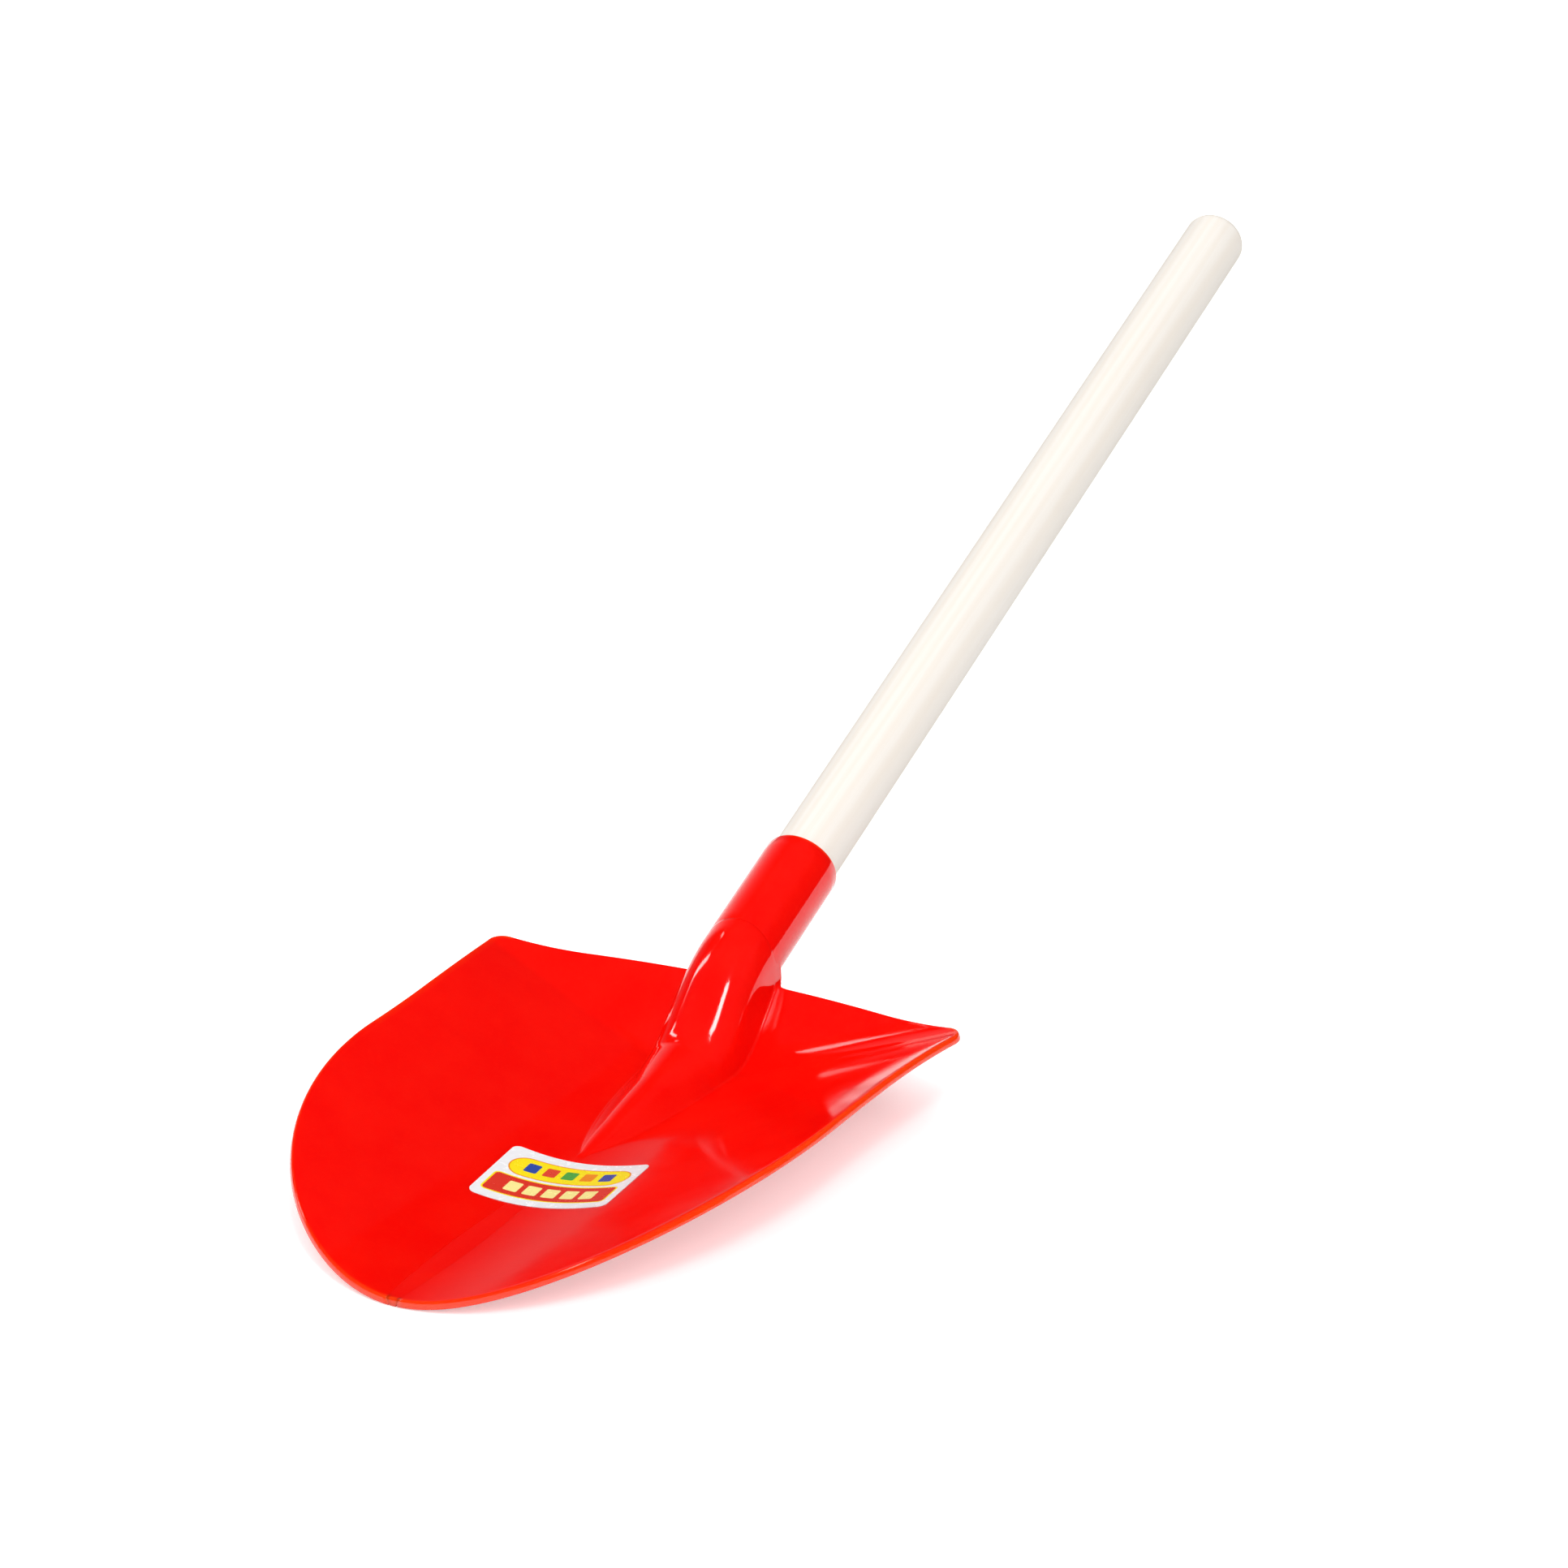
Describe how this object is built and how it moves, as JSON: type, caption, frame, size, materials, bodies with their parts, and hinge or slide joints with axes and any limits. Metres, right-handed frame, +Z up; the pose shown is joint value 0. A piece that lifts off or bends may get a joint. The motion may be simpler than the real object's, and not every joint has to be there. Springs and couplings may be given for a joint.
{
  "type": "sand shovel",
  "caption": "Child's sand shovel: a moulded plastic scoop with a hollow ridge and round socket, on a straight wooden handle.",
  "frame": {"origin": "middle of the footprint of the whole shovel, on the floor it lies on", "axes": "+X across the blade, +Y from the blade's tip towards the handle's free end, +Z up"},
  "size_m": [0.1368, 0.4751, 0.1545],
  "materials": {
    "red_plastic": "glossy",
    "bare_wood": "sanded",
    "screw_steel": "zinc plated",
    "label_film": "glossy"
  },
  "bodies": {
    "root": {"scoop": "red_plastic", "handle": "bare_wood", "fixing_screw": "screw_steel", "label": "label_film"}
  },
  "joints": []
}
